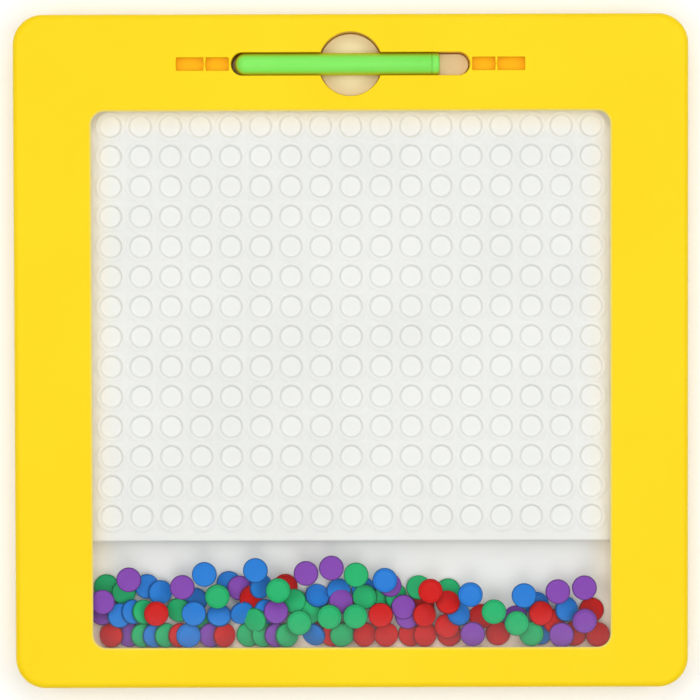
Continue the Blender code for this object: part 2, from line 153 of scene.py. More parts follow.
# Where the discs of the pile lie that have no node of their own, in the order in which they fell:
# the colour's first letter, small where the rim side is up, then x and y in millimetres
PILE = (
    "B5/-100.3 G-62/-115.5 R-15.5/-113.5 G12.5/-104.5 R29.5/-106.5 G-18/-109.5 R-8/-119 B79/-118.5",
    "P-93.5/-119 R-101/-119 G-87.6/-119 B-82.7/-119 G-77.8/-119 R-72/-119 P-59/-119",
    "b-68.5/-119 R-53.3/-119 G-43.3/-119 G-37/-119 P-31.7/-119 G-27.1/-119 B-16.1/-119",
    "G-4.1/-119 r5.2/-119 r14.3/-119 R24.6/-119 R30.7/-119 R40.9/-119 R61.3/-118.7",
    "g75.2/-118.7 R93.3/-119 r103/-119.2 P16/-98 G-103/-98.7 G-95.6/-101 B-85.9/-98.5",
    "B-80.2/-101 B-65.8/-104.5 B-51.6/-97.5 P-47/-99.2 r-27.9/-98.7 r-42.5/-102.8",
    "B-38/-98.5 G-24.2/-104.8 b-14.5/-102.7 B-5.5/-100.6 P-4.5/-104.9",
    "g5.5/-103 G18.5/-102.9 G28/-99.2 P23.3/-111.4 P21.6/-107.3 G40.4/-100.8 P-104.5/-109.6",
    "B-97.2/-110.4 B-91.7/-109 G-87.1/-109 G-72.6/-108.5 B-55.6/-110.5 B-46/-109.6",
    "B-36/-109 P-31.7/-108.9 G-40.6/-112.5 r39.8/-115.4 R30.4/-110.5 b44.5/-110.3",
    "R40.2/-105.2 r54.3/-111.5 P68.4/-112 b77.5/-106.5 R79.2/-110 R85/-113.6 B90/-108.5",
    "R100.6/-109",
)
COLOUR_OF = {"R": "red", "G": "green", "B": "blue", "P": "purple"}


# ---------------------------------------------------------------- outlines


def arc(centre_x, centre_y, radius, start, end, steps):
    points = []
    for step in range(steps + 1):
        angle = math.radians(start + (end - start) * step / steps)
        points.append((centre_x + radius * math.cos(angle), centre_y + radius * math.sin(angle)))
    return points


def rounded_rectangle(left, right, near, far, near_radius, far_radius, grow=0.0, steps=10):
    """Anticlockwise from the near left corner. A positive grow moves every side outwards."""
    near_radius = max(near_radius + grow, 0.00005)
    far_radius = max(far_radius + grow, 0.00005)
    left, right, near, far = left - grow, right + grow, near - grow, far + grow
    points = arc(left + near_radius, near + near_radius, near_radius, 180, 270, steps)
    points += arc(right - near_radius, near + near_radius, near_radius, 270, 360, steps)
    points += arc(right - far_radius, far - far_radius, far_radius, 0, 90, steps)
    points += arc(left + far_radius, far - far_radius, far_radius, 90, 180, steps)
    return points


def frame_outline(grow):
    half = BOARD_HALF
    return rounded_rectangle(-half, half, -half, half, BOARD_CORNER, BOARD_CORNER, grow, 14)


def window_outline(grow):
    return rounded_rectangle(*WINDOW_EDGES, WINDOW_CORNER, WINDOW_CORNER, grow)


def bay_outline(grow):
    """The pen slot crossed by the round finger hole, anticlockwise from the slot's right end."""
    half_width = SLOT_HALF_WIDTH + grow
    radius = FINGER_RADIUS + grow
    end = SLOT_HALF_LENGTH - SLOT_HALF_WIDTH
    meet = math.degrees(math.asin(half_width / radius))
    points = arc(end, 0.0, half_width, -90, 90, 20)
    points += arc(0.0, 0.0, radius, meet, 180 - meet, 40)
    points += arc(-end, 0.0, half_width, 90, 270, 20)
    points += arc(0.0, 0.0, radius, 180 + meet, 360 - meet, 40)
    return [(x, SLOT_Y + y) for x, y in points]


def sleeve_outline(grow):
    """The outside of the walls round the slot, which are long enough to carry the grooves."""
    half_width = SLOT_HALF_WIDTH + grow
    radius = FINGER_RADIUS + grow
    end = GROOVE_FAR_X + grow
    meet = math.degrees(math.asin(half_width / radius))
    points = [(end, -half_width), (end, half_width)]
    points += arc(0.0, 0.0, radius, meet, 180 - meet, 20)
    points += [(-end, half_width), (-end, -half_width)]
    points += arc(0.0, 0.0, radius, 180 + meet, 360 - meet, 20)
    return [(x, SLOT_Y + y) for x, y in points]


def groove_outline(sign, grow):
    left, right = sorted((sign * GROOVE_NEAR_X, sign * GROOVE_FAR_X))
    near, far = SLOT_Y - GROOVE_HALF_WIDTH, SLOT_Y + GROOVE_HALF_WIDTH
    return rounded_rectangle(left, right, near, far, GROOVE_CORNER, GROOVE_CORNER, grow, 3)


def tray_outline(grow):
    near, far = TRAY_LOW.y + TRAY_WALL, TRAY_HIGH.y - TRAY_WALL
    half = TRAY_HIGH.x - TRAY_WALL
    return rounded_rectangle(-half, half, near, far, TRAY_CORNER, TRAY_CORNER, grow)


def rounded(grow_flat, grow_wall, flat, wall, steps=6):
    """(grow, height) pairs round an edge, from the flat face at one height to the wall."""
    pairs = []
    for step in range(steps + 1):
        angle = math.pi / 2 * step / steps
        grow = grow_flat + (grow_wall - grow_flat) * math.sin(angle)
        pairs.append((grow, wall + (flat - wall) * math.cos(angle)))
    return pairs


# ---------------------------------------------------------------- meshes


class Skin:
    """A mesh made of rings of points, where each ring is joined to the next by a band of faces."""

    def __init__(self):
        self.model = bmesh.new()

    def ring(self, outline, height):
        return [self.model.verts.new((x, y, height)) for x, y in outline]

    def join(self, first, second):
        for i, j in zip(range(len(first)), [*range(1, len(first)), 0]):
            self.model.faces.new((first[i], first[j], second[j], second[i]))

    def wall(self, outline_at, steps):
        """Rings at each (grow, height), joined in turn. It returns the first and the last."""
        rings = [self.ring(outline_at(grow), height) for grow, height in steps]
        for first, second in zip(rings, rings[1:]):
            self.join(first, second)
        return rings[0], rings[-1]

    def fill(self, *rings):
        """Faces on the flat area inside the first ring and outside the others."""
        edges = []
        for ring in rings:
            for first, second in zip(ring, ring[1:] + ring[:1]):
                edge = self.model.edges.get((first, second))
                edges.append(edge or self.model.edges.new((first, second)))
        bmesh.ops.triangle_fill(self.model, edges=edges, use_beauty=True)

    def mesh(self, name, sharp=35.0):
        bmesh.ops.recalc_face_normals(self.model, faces=self.model.faces)
        mesh = bpy.data.meshes.new(name)
        self.model.to_mesh(mesh)
        self.model.free()
        mesh.shade_smooth()
        mesh.set_sharp_from_angle(angle=math.radians(sharp))
        return mesh


def turned_mesh(name, profile, segments=48, sharp=50.0):
    """A solid of revolution about Z of (radius, height) points, from the top axis to the bottom."""
    skin = Skin()
    model = skin.model
    top = model.verts.new((0.0, 0.0, profile[0][1]))
    bottom = model.verts.new((0.0, 0.0, profile[-1][1]))
    outline = [(math.cos(a), math.sin(a)) for a in np.linspace(0, math.tau, segments + 1)[:-1]]
    rings = [
        skin.ring([(x * radius, y * radius) for x, y in outline], height)
        for radius, height in profile[1:-1]
    ]
    for first, second in zip(rings, rings[1:]):
        skin.join(first, second)
    for i in range(segments):
        j = (i + 1) % segments
        model.faces.new((top, rings[0][i], rings[0][j]))
        model.faces.new((bottom, rings[-1][j], rings[-1][i]))
    return skin.mesh(name, sharp)


def add_piece(name, mesh, material, body="housing", replaced=(), matrix=None):
    """An object that rides on a body, offers its material slot and stands in for CAD nodes."""
    piece = bpy.data.objects.new(name, mesh)
    bpy.context.scene.collection.objects.link(piece)
    if not mesh.materials:
        mesh.materials.append(material)
    if matrix is not None:
        piece.matrix_world = matrix
    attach(piece, body)
    if replaced:
        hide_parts(*replaced)
    return piece


def even_shading(piece):
    """Big flat faces keep their own normal where they meet a rounded edge."""
    weighted = piece.modifiers.new("even_shading", "WEIGHTED_NORMAL")
    weighted.keep_sharp = True
    weighted.weight = 100


# ---------------------------------------------------------------- materials


def linear(red, green, blue):
    """A colour of 0 to 255 as the shader takes it."""
    values = []
    for value in (red, green, blue):
        share = value / 255
        values.append(share / 12.92 if share <= 0.04045 else ((share + 0.055) / 1.055) ** 2.4)
    return (*values, 1.0)


def new_material(name, roughness, metallic=0.0):
    """A material with its node tree and its Principled shader."""
    material = bpy.data.materials.new(name)
    material.use_nodes = True
    tree = material.node_tree
    shader = tree.nodes["Principled BSDF"]
    shader.inputs["Metallic"].default_value = metallic
    shader.inputs["Roughness"].default_value = roughness
    return material, tree, shader


def add_noise(tree, scale, detail=2.0):
    """Noise in the piece's own coordinates, in cycles per metre."""
    coordinates = tree.nodes.new("ShaderNodeTexCoord")
    noise = tree.nodes.new("ShaderNodeTexNoise")
    noise.inputs["Scale"].default_value = scale
    noise.inputs["Detail"].default_value = detail
    tree.links.new(coordinates.outputs["Object"], noise.inputs["Vector"])
    return noise.outputs["Fac"]


def add_ramp(tree, factor, first, second, low=0.35, high=0.65):
    """A colour that goes from the first to the second as the factor rises from low to high."""
    ramp = tree.nodes.new("ShaderNodeValToRGB")
    ramp.color_ramp.elements[0].position = low
    ramp.color_ramp.elements[0].color = first
    ramp.color_ramp.elements[1].position = high
    ramp.color_ramp.elements[1].color = second
    tree.links.new(factor, ramp.inputs["Fac"])
    return ramp.outputs["Color"]


def add_bump(tree, shader, scale, depth, strength=1.0):
    bump = tree.nodes.new("ShaderNodeBump")
    bump.inputs["Strength"].default_value = strength
    bump.inputs["Distance"].default_value = depth
    tree.links.new(add_noise(tree, scale, 3.0), bump.inputs["Height"])
    tree.links.new(bump.outputs["Normal"], shader.inputs["Normal"])


def plastic(name, first, second, roughness, specular, grain=900.0, grain_depth=0.000004):
    """Moulded plastic: two close colours in soft clouds, a fine grain and uneven gloss."""
    cloud = 25.0
    material, tree, shader = new_material(name, roughness)
    shader.inputs["Specular IOR Level"].default_value = specular
    colour = add_ramp(tree, add_noise(tree, cloud), first, second)
    tree.links.new(colour, shader.inputs["Base Color"])
    gloss = tree.nodes.new("ShaderNodeMapRange")
    gloss.inputs["To Min"].default_value = roughness - 0.05
    gloss.inputs["To Max"].default_value = roughness + 0.05
    tree.links.new(add_noise(tree, cloud * 6, 4.0), gloss.inputs["Value"])
    tree.links.new(gloss.outputs["Result"], shader.inputs["Roughness"])
    add_bump(tree, shader, grain, grain_depth)
    return material, tree, shader


def add_position(tree):
    """The place in the piece's own coordinates, as X, Y and Z sockets."""
    coordinates = tree.nodes.new("ShaderNodeTexCoord")
    parts = tree.nodes.new("ShaderNodeSeparateXYZ")
    tree.links.new(coordinates.outputs["Object"], parts.inputs["Vector"])
    return parts.outputs["X"], parts.outputs["Y"], parts.outputs["Z"]


def add_math(tree, operation, first, second=0.0):
    node = tree.nodes.new("ShaderNodeMath")
    node.operation = operation
    for socket, value in zip(node.inputs, (first, second)):
        if isinstance(value, float):
            socket.default_value = value
        else:
            tree.links.new(value, socket)
    return node.outputs["Value"]


def add_range(tree, value, start, end):
    """0 at the start and 1 at the end, softly."""
    node = tree.nodes.new("ShaderNodeMapRange")
    node.interpolation_type = "SMOOTHSTEP"
    node.inputs["From Min"].default_value = start
    node.inputs["From Max"].default_value = end
    tree.links.new(value, node.inputs["Value"])
    return node.outputs["Result"]


def add_tint(tree, shader, factor, colour):
    """Blends the base colour towards another one where the factor is 1."""
    mix = tree.nodes.new("ShaderNodeMix")
    mix.data_type = "RGBA"
    base = shader.inputs["Base Color"].links[0].from_socket
    tree.links.new(factor, mix.inputs["Factor"])
    tree.links.new(base, mix.inputs["A"])
    mix.inputs["B"].default_value = colour
    tree.links.new(mix.outputs["Result"], shader.inputs["Base Color"])


def make_yellow():
    """Bright on the face, with painted shade down in the slot and the grooves (a deeper orange for
    the shade and yellow bounce light there) and a painted highlight on the window lip's rounded
    edge.
    """
    material, tree, shader = plastic(
        "yellow_plastic", linear(253, 215, 16), linear(253, 218, 22), 0.36, 0.12
    )
    x, y, z = add_position(tree)
    off_middle = add_math(tree, "ABSOLUTE", x)
    # Painted shade: the slot and the grooves turn deeper orange the lower they go, standing in for
    # shade and yellow bounce light between their walls.
    depth = add_range(tree, z, FACE - 0.0005, GROOVE_FLOOR + 0.0008)
    beside_x = add_range(tree, off_middle, GROOVE_FAR_X + 0.003, GROOVE_FAR_X + 0.001)
    off_slot = add_math(tree, "ABSOLUTE", add_math(tree, "SUBTRACT", y, SLOT_Y))
    beside_y = add_range(tree, off_slot, FINGER_RADIUS + 0.002, FINGER_RADIUS + 0.001)
    inside = add_math(tree, "MULTIPLY", beside_x, beside_y)
    add_tint(tree, shader, add_math(tree, "MULTIPLY", depth, inside), linear(248, 187, 0))
    # Painted highlight: a pale yellow on the rounded edge of the window lip, standing in for the
    # gleam of the lights on it.
    rim = add_range(tree, z, FACE - 0.0001, FACE - 0.0010)
    left_right = add_range(tree, off_middle, WINDOW_EDGES[1] + 0.006, WINDOW_EDGES[1] + 0.004)
    far = add_range(tree, y, WINDOW_EDGES[3] + 0.0045, WINDOW_EDGES[3] + 0.0035)
    near = add_range(tree, y, WINDOW_EDGES[2] - 0.006, WINDOW_EDGES[2] - 0.004)
    window = add_math(tree, "MULTIPLY", left_right, add_math(tree, "MULTIPLY", far, near))
    add_tint(tree, shader, add_math(tree, "MULTIPLY", rim, window), linear(255, 240, 140))
    return material


def make_white():
    """Cool in the open, and a painted warm light within a thumb's width of the yellow walls: yellow
    bounce light, bright enough to lift the shade under the walls.
    """
    material, tree, shader = plastic(
        "white_plastic", linear(229, 230, 226), linear(232, 233, 229), 0.45, 0.2
    )
    x, y, _ = add_position(tree)
    # Painted light: a warmer, lighter white near the tray's sides, far wall and near wall, standing
    # in for yellow bounce light and hiding their shade.
    side = add_range(tree, add_math(tree, "ABSOLUTE", x), TRAY_HIGH.x - 0.015, TRAY_HIGH.x)
    far = add_range(tree, y, TRAY_HIGH.y - 0.015, TRAY_HIGH.y)
    near = add_range(tree, y, TRAY_LOW.y + 0.020, TRAY_LOW.y + 0.004)
    add_tint(tree, shader, side, linear(248, 238, 216))
    add_tint(tree, shader, far, linear(250, 240, 214))
    add_tint(tree, shader, near, linear(252, 232, 214))
    return material


def make_ivory():
    """The rear cover: white outside, and a painted warm tint on the shelf that the pen lies on, for
    the shade and yellow bounce light down in the pen bay.
    """
    material, tree, shader = plastic(
        "ivory_plastic", linear(236, 236, 230), linear(240, 239, 233), 0.45, 0.3
    )
    height = add_position(tree)[2]
    # Painted shade and bounce light: the low shelf under the pen bay is tinted beige-yellow.
    shelf = add_range(tree, height, BASE + 0.004, BASE + 0.008)
    add_tint(tree, shader, shelf, linear(252, 244, 203))
    return material


def make_pen_green():
    """Bright green, and painted shade with yellow reflected light down the sides of the barrel,
    which lies with +X up.
    """
    material, tree, shader = plastic(
        "green_pen_plastic", linear(128, 235, 94), linear(136, 239, 104), 0.3, 0.15
    )
    height = add_position(tree)[0]
    # Painted shade and reflection: the sides of the barrel turn olive-yellow, for the shade of the
    # slot and the yellow walls reflected in them.
    sides = add_range(tree, height, 0.0042, 0.0015)
    add_tint(tree, shader, sides, linear(204, 214, 26))
    return material


def make_clear():
    """Hardly seen from straight above, whiter along its near edge, glossy when looked along. The
    whiter near edge is partly haze and partly painted light over the near discs in the lip's shade.
    """
    material, tree, shader = new_material("clear_window_plastic", 0.08)
    tint = add_ramp(tree, add_noise(tree, 40.0), linear(250, 252, 250), linear(255, 255, 255))
    tree.links.new(tint, shader.inputs["Base Color"])
    slant = tree.nodes.new("ShaderNodeLayerWeight")
    slant.inputs["Blend"].default_value = 0.3
    gloss = add_math(tree, "MULTIPLY", add_range(tree, slant.outputs["Facing"], 0.05, 1.0), 0.3)
    # Painted light: the veil grows whiter towards the near edge to brighten the discs in the near
    # lip's shade; a faint even haze lies over the rest.
    near = add_range(tree, add_position(tree)[1], WINDOW_EDGES[2] + 0.018, WINDOW_EDGES[2])
    haze_and_painted_light = add_math(tree, "ADD", add_math(tree, "MULTIPLY", near, 0.022), 0.006)
    tree.links.new(add_math(tree, "ADD", gloss, haze_and_painted_light), shader.inputs["Alpha"])
    return material


def make_disc_plastic(colour, first, second):
    """Even over the face of the disc, with painted shade in the last half millimetre round its
    edge.
    """
    material, tree, shader = plastic(f"{colour}_disc_plastic", first, second, 0.32, 0.07)
    squares = [add_math(tree, "MULTIPLY", along, along) for along in add_position(tree)[:2]]
    radius = add_math(tree, "SQRT", add_math(tree, "ADD", *squares))
    # Painted shade: the rim of each disc darkens to half its colour, standing in for the shade on
    # its rounded edge and between discs in the pile.
    edge = add_range(tree, radius, DISC_RADIUS - 0.0006, DISC_RADIUS - 0.0001)
    edge_shade = (*(value * 0.5 for value in first[:3]), 1.0)
    add_tint(tree, shader, edge, edge_shade)
    return material


def make_materials():
    """Every material, by the short name that the pieces ask for it by."""
    made = {"yellow": make_yellow(), "white": make_white(), "ivory": make_ivory()}
    made["pen"] = make_pen_green()
    disc_colours = {
        "red": (linear(204, 8, 4), linear(210, 14, 8)),
        "green": (linear(26, 176, 104), linear(34, 184, 114)),
        "blue": (linear(28, 120, 208), linear(38, 130, 216)),
        "purple": (linear(128, 66, 170), linear(136, 74, 178)),
    }
    for colour, (first, second) in disc_colours.items():
        made[colour] = make_disc_plastic(colour, first, second)
    made["rubber"] = plastic("foot_rubber", linear(44, 44, 44), linear(52, 52, 52), 0.7, 0.3)[0]
    made["steel"], tree, shader = new_material("plated_steel", 0.28, 1.0)
    grey = add_ramp(tree, add_noise(tree, 300.0), linear(170, 170, 174), linear(200, 200, 204))
    tree.links.new(grey, shader.inputs["Base Color"])
    made["clear"] = make_clear()
    return made


# ---------------------------------------------------------------- frame, window and board


def make_front_frame(materials):
    """The yellow shell: face, outer and inner walls, window lip, pen bay and both grooves."""
    skin = Skin()
    rim, inside = skin.wall(
        frame_outline,
        rounded(-FACE_ROUND, 0.0, FACE, FACE - FACE_ROUND, 10)
        + rounded(-0.0005, 0.0, BASE, BASE + 0.0005, 3)[::-1]
        + [(-FRAME_WALL, BASE), (-FRAME_WALL, LIP_LOW)],
    )
    opening, opening_low = skin.wall(
        window_outline,
        rounded(LIP_ROUND, 0.0, FACE, FACE - LIP_ROUND_DEPTH, 9) + [(0.0, LIP_LOW)],
    )
    bay, bay_low = skin.wall(
        bay_outline, rounded(SLOT_ROUND, 0.0, FACE, FACE - SLOT_ROUND, 5) + [(0.0, SLEEVE_LOW)]
    )
    sleeve_low, sleeve = skin.wall(
        sleeve_outline, [(SLEEVE_WALL, SLEEVE_LOW), (SLEEVE_WALL, LIP_LOW)]
    )
    grooves = []
    for sign in (-1, 1):
        steps = rounded(GROOVE_ROUND, 0.0, FACE, FACE - GROOVE_ROUND, 3) + [(0.0, GROOVE_FLOOR)]
        mouth, floor = skin.wall(lambda grow, side=sign: groove_outline(side, grow), steps)
        skin.model.faces.new(floor)
        grooves.append(mouth)
    skin.fill(rim, opening, bay, *grooves)
    skin.fill(sleeve_low, bay_low)
    skin.fill(inside, opening_low, sleeve)
    piece = add_piece(
        "frame_shell",
        skin.mesh("frame_shell"),
        materials["yellow"],
        replaced=("front_frame",),
    )
    even_shading(piece)


def make_groove_tabs(materials):
    """Four thin tabs, two across each groove, which narrow towards the middle."""
    for number, (side, toward) in enumerate(((-1, 1), (-1, -1), (1, 1), (1, -1)), 1):
        skin = Skin()
        x = side * TAB_X
        root = SLOT_Y + toward * (GROOVE_HALF_WIDTH + TAB_INTO_WALL)
        tip = SLOT_Y + toward * TAB_SPLIT_HALF

        def outline(grow, x=x, root=root, tip=tip):
            wide, narrow = TAB_ROOT_HALF + grow, TAB_TIP_HALF + grow
            end = tip - math.copysign(grow, root - tip)
            return [(x - wide, root), (x + wide, root), (x + narrow, end), (x - narrow, end)]

        low = GROOVE_FLOOR - TAB_SUNK
        top = FACE - TAB_SUNK
        foot, crown = skin.wall(
            outline, [(0.0, low)] + rounded(-0.0002, 0.0, top, top - 0.0002, 3)[::-1]
        )
        skin.model.faces.new(foot)
        skin.model.faces.new(crown)
        piece = add_piece(
            f"groove_tab_{number}",
            skin.mesh(f"groove_tab_{number}"),
            materials["yellow"],
        )
        even_shading(piece)


def make_window(materials):
    """The clear sheet under the lip, with its edges just broken."""
    skin = Skin()

    def outline(grow):
        return rounded_rectangle(
            SHEET_LOW.x, SHEET_HIGH.x, SHEET_LOW.y, SHEET_HIGH.y, 0.003, 0.003, grow
        )

    edge = 0.0001
    low, high = skin.wall(
        outline,
        [
            (-edge, WINDOW_LOW),
            (0.0, WINDOW_LOW + edge),
            (0.0, WINDOW_HIGH - edge),
            (-edge, WINDOW_HIGH),
        ],
    )
    skin.fill(low)
    skin.fill(high)
    piece = add_piece(
        "window_sheet",
        skin.mesh("window_sheet", 20.0),
        materials["clear"],
        replaced=("front_window",),
    )
    even_shading(piece)


def make_tray(materials):
    """The tub that the cells stand in: its wall, and the smooth floor of the trough."""
    skin = Skin()
    low, high = TRAY_LOW.z, TRAY_HIGH.z
    edge = 0.0002
    foot, floor = skin.wall(
        tray_outline,
        [(TRAY_WALL - edge, low), (TRAY_WALL, low + edge), (TRAY_WALL, high - edge)]
        + [(TRAY_WALL - edge, high), (edge, high), (0.0, high - edge)]
        + rounded(-TROUGH_FILLET, 0.0, TROUGH_FLOOR, TROUGH_FLOOR + TROUGH_FILLET)[::-1],
    )
    skin.fill(foot)
    skin.fill(floor)
    piece = add_piece(
        "trough_tray",
        skin.mesh("trough_tray"),
        materials["white"],
        replaced=("cell_board",),
    )
    even_shading(piece)


def smooth(value, start, end):
    share = min(max((value - start) / (end - start), 0.0), 1.0)
    return share * share * (3 - 2 * share)


def cell_height(radius):
    """Height of the cell field at a distance from a cell's centre: dish, round rim, low plate."""
    dish = DISH_DEPTH * (1 - smooth(radius, 0.0039, 0.0051))
    outside = (CREST - PLATE) * smooth(radius, 0.0059, 0.0070)
    return CREST - dish - outside


def add_cell(model, centre_x, centre_y, segments=48):
    """One cell from its middle out to the square that it shares with its neighbours."""
    rings = []
    angles = [math.tau * step / segments for step in range(segments)]
    half = CELL_PITCH / 2
    for share in (*CELL_RINGS, "between", "edge"):
        ring = []
        for angle in angles:
            edge = half / max(abs(math.cos(angle)), abs(math.sin(angle)))
            radius = {"between": (CELL_RINGS[-1] + edge) / 2, "edge": edge}.get(share, share)
            x, y = radius * math.cos(angle), radius * math.sin(angle)
            ring.append(model.verts.new((centre_x + x, centre_y + y, cell_height(radius))))
        rings.append(ring)
    middle = model.verts.new((centre_x, centre_y, cell_height(0.0)))
    for i in range(segments):
        j = (i + 1) % segments
        model.faces.new((middle, rings[0][i], rings[0][j]))
        for first, second in zip(rings, rings[1:]):
            model.faces.new((first[i], second[i], second[j], first[j]))


def make_cell_field(materials):
    """The block of round cells, with the rounded step down to the trough at its near side."""
    skin = Skin()
    model = skin.model
    for column in range(CELL_COLUMNS):
        x = (column - (CELL_COLUMNS - 1) / 2) * CELL_PITCH
        for row in range(CELL_ROWS):
            add_cell(model, x, CELL_TOP_ROW_Y - row * CELL_PITCH)
    bmesh.ops.remove_doubles(model, verts=model.verts, dist=0.00001)
    border = [edge for edge in model.edges if len(edge.link_faces) == 1]
    made = bmesh.ops.extrude_edge_only(model, edges=border)["geom"]
    skirt = [item for item in made if isinstance(item, bmesh.types.BMVert)]
    half_x = CELL_COLUMNS * CELL_PITCH / 2
    far = CELL_TOP_ROW_Y + CELL_PITCH / 2
    near = far - CELL_ROWS * CELL_PITCH
    reach = 0.0008
    for vert in skirt:
        if abs(abs(vert.co.x) - half_x) < 0.0001:
            vert.co.x += math.copysign(reach, vert.co.x)
        if abs(vert.co.y - far) < 0.0001:
            vert.co.y += reach
        if abs(vert.co.y - near) < 0.0001:
            vert.co.y -= reach
        vert.co.z = PLATE
    inner = [item for item in made if isinstance(item, bmesh.types.BMEdge)]
    inner = [edge for edge in inner if all(vert.co.z == skirt[0].co.z for vert in edge.verts)]

    def outline(inset):
        """Runs a little into the tray's wall on three sides; only the step moves."""
        half = TRAY_HIGH.x - TRAY_WALL * 0.75
        back = TRAY_HIGH.y - TRAY_WALL * 0.75
        return rounded_rectangle(-half, half, STEP_Y + inset, back, 0.0, TRAY_CORNER)

    top, bottom = skin.wall(
        outline,
        rounded(STEP_ROUND, 0.0, PLATE, PLATE - STEP_ROUND) + [(0.0, TROUGH_FLOOR - 0.0002)],
    )
    edges = [edge for edge in inner if len(edge.link_faces) == 1]
    edges += [model.edges.get(pair) for pair in zip(top, top[1:] + top[:1])]
    bmesh.ops.triangle_fill(model, edges=edges, use_beauty=True)
    skin.fill(bottom)
    mesh = skin.mesh("cell_field", 60.0)
    piece = add_piece("cell_field", mesh, materials["white"])
    even_shading(piece)


# ---------------------------------------------------------------- pen


def make_pen(materials):
    """The barrel with its round tip, and the cap at the other end, turned about the pen's axis."""
    low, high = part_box("pen_barrel")
    cap_low, cap_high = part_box("pen_end_cap")
    radius = (high.z - low.z) / 2
    axis_z = (high.z + low.z) / 2
    length = high.x - low.x
    tip_length = radius * TIP_LENGTH_SHARE
    tip = []
    for share in np.linspace(0, 1, 11):
        out = radius * math.sin(share * math.pi / 2) ** 0.8
        tip.append((out, length - tip_length * share**1.6))
    bore = radius - BARREL_WALL
    bore_end = length - TIP_SOLID
    profile = [(0.0, length), *tip[1:], (radius, 0.0001), (radius - 0.0001, 0.0)]
    profile += [(bore, 0.0), (bore, bore_end), (0.0, bore_end)]
    lie = Matrix.Translation((high.x, SLOT_Y, axis_z)) @ Matrix.Rotation(-math.pi / 2, 4, "Y")
    add_piece(
        "pen_body",
        turned_mesh("pen_body", profile, 64),
        materials["pen"],
        body="pen",
        replaced=("pen_barrel",),
        matrix=lie,
    )
    head = cap_high.x - high.x
    spigot = high.x - cap_low.x
    plug = bore - 0.0003
    cap = [(0.0, spigot), (plug - 0.0003, spigot), (plug, spigot - 0.0003), (plug, -0.0001)]
    cap += [(radius - 0.0001, -0.0001), (radius, -0.0002)]
    cap += [
        (radius + CAP_ROUND * (math.cos(a) - 1), CAP_ROUND * (1 - math.sin(a)) - head)
        for a in np.linspace(0, math.pi / 2, 7)
    ]
    cap += [(radius * 0.4, -head), (0.0, -head)]
    add_piece(
        "pen_cap",
        turned_mesh("pen_cap", cap, 64),
        materials["pen"],
        body="pen",
        replaced=("pen_end_cap",),
        matrix=lie,
    )


# ---------------------------------------------------------------- discs


def disc_profile():
    """A low dome on top, a rounded edge, and underneath a raised rim round a shallow dish."""
    shoulder = 0.0043
    profile = []
    for radius in (0.0, 0.0011, 0.0022, 0.0032, 0.0038, shoulder):
        profile.append((radius, DISC_HALF - 0.00042 * (radius / shoulder) ** 2.4))
    side = -DISC_HALF * 0.2
    high = profile[-1][1]
    for step in range(1, 8):
        angle = math.pi / 2 * step / 7
        reach = (DISC_RADIUS - shoulder) * math.sin(angle)
        profile.append((shoulder + reach, side + (high - side) * math.cos(angle)))
    profile += [(0.00517, -0.00055), (0.00506, -0.00082), (0.00488, -0.00102)]
    profile += [(0.00468, -DISC_HALF), (0.00448, -0.00104), (0.00430, -0.00088)]
    profile += [(0.00412, -0.00066), (0.00390, -0.00052), (0.0034, -0.00045), (0.0, -0.0004)]
    return profile


def disc_meshes(materials):
    return {
        colour: turned_mesh(f"{colour}_disc", disc_profile(), 48)
        for colour in COLOUR_OF.values()
    }


def facing(normal, flip):
    """The turn that brings a disc's top, or its underside, to face along a direction."""
    turn = Vector((0, 0, 1)).rotation_difference(Vector(normal)).to_matrix().to_4x4()
    return turn @ Matrix.Rotation(math.pi, 4, "X") if flip else turn


def lie_of_node(name):
    """Where a CAD disc lies: its centre, its upward normal, and whether its rim side is up."""
    mesh = frame["nodes"][name].data
    points = np.array([vert.co for vert in mesh.vertices])
    centre = (points.min(0) + points.max(0)) / 2
    offsets = points - centre
    normal = np.linalg.svd(offsets.T @ offsets)[0][:, 2]
    normal = normal * (1 if normal[2] > 0 else -1)
    above = offsets @ normal
    outward = np.linalg.norm(offsets - np.outer(above, normal), axis=1)
    top_edge = outward[above > above.max() - 0.00005].max()
    return centre, normal, top_edge > DISC_RADIUS / 2


def add_disc(name, colour, centre, normal, flip, meshes, materials, body, replaced=()):
    matrix = Matrix.Translation(centre) @ facing(normal, flip)
    add_piece(name, meshes[colour], materials[colour], body, replaced, matrix)


